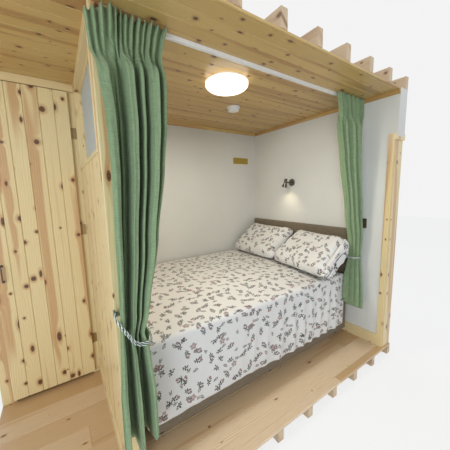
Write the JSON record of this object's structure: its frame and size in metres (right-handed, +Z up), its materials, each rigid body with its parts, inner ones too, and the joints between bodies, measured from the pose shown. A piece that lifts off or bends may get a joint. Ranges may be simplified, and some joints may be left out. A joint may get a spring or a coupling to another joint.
{
  "type": "built-in sleeping alcove with wardrobe",
  "caption": "Chalet sleeping alcove with a curtained double bed between a boarded partition and a plastered wall, and a plank-door wardrobe at its foot.",
  "frame": {"origin": "middle of the plan at the underside of the floor joists", "axes": "+X along the bed to the wall at its head, +Y to the back wall, +Z up; the alcove and the wardrobe open to -Y"},
  "size_m": [2.834, 1.8, 2.349],
  "materials": {
    "sawn_timber": "sawn pale softwood",
    "floor_board": "satin lacquered honey boards",
    "painted_wall": "matt cream paint on board",
    "ceiling_pine": "varnished knotty orange pine",
    "knotty_pine": "clear varnished knotty pine",
    "window_glass": "clear glass",
    "dark_metal": "polished dark nickel",
    "base_fabric": "woven grey brown",
    "black_plastic": "moulded black",
    "bedding": "printed cotton with small sprigs",
    "headboard_fabric": "woven brown",
    "white_rail": "white coated",
    "curtain_fabric": "woven sage green",
    "white_plastic": "moulded white",
    "opal_plastic": "opal, lit",
    "yellow_plate": "bare yellow plate",
    "brown_plate": "moulded dark brown",
    "rope": "twisted green and white rope"
  },
  "bodies": {
    "root": {"floor_joists": "sawn_timber", "floor_boards": "floor_board", "back_wall": "painted_wall", "head_wall": "painted_wall", "ceiling_boards": "ceiling_pine", "ceiling_joists": "sawn_timber", "back_cornice": "ceiling_pine", "head_cornice": "ceiling_pine", "partition_post": "knotty_pine", "partition_outer_boards": "knotty_pine", "partition_inner_boards": "knotty_pine", "closet_outer_boards": "knotty_pine", "closet_inner_boards": "knotty_pine", "window_sill": "knotty_pine", "window_head": "knotty_pine", "window_back_jamb": "knotty_pine", "window_front_jamb": "knotty_pine", "window_beads": "knotty_pine", "window_glass": "window_glass", "partition_skirting": "knotty_pine", "head_skirting": "knotty_pine", "door_lining": "knotty_pine", "door_casings": "knotty_pine", "wardrobe_side": "knotty_pine", "left_stile": "knotty_pine", "right_stile": "knotty_pine", "wardrobe_header": "knotty_pine", "hinge_stile_plates": "dark_metal", "bed_base": "base_fabric", "bed_feet": "black_plastic", "mattress": "bedding", "headboard": "headboard_fabric", "duvet": "bedding", "far_pillow": "bedding", "near_pillow": "bedding", "curtain_rail": "white_rail", "left_curtain": "curtain_fabric", "right_curtain": "curtain_fabric", "light_base": "white_plastic", "light_diffuser": "opal_plastic", "smoke_alarm": "white_plastic", "wall_plate": "yellow_plate", "switch_plate": "brown_plate", "lamp_base": "dark_metal", "left_tieback": "rope", "right_tieback": "rope", "tieback_hooks": "dark_metal"},
    "wardrobe_door": {"wardrobe_leaf": "knotty_pine", "leaf_ledges": "knotty_pine", "door_handle": "dark_metal", "hinge_leaf_plates": "dark_metal"},
    "reading_lamp": {"lamp_head": "dark_metal", "lamp_lens": "opal_plastic"}
  },
  "joints": [
    {"name": "wardrobe_hinge", "type": "hinge", "parent": "root", "child": "wardrobe_door", "pos_m": [-0.8535, 0.2797, 1.19], "axis": [0, 0, 1], "range_deg": [0, 85]},
    {"name": "lamp_tilt", "type": "hinge", "parent": "root", "child": "reading_lamp", "pos_m": [1.208, 0.155, 1.577], "axis": [0, 1, 0], "range_deg": [0, 70]}
  ]
}
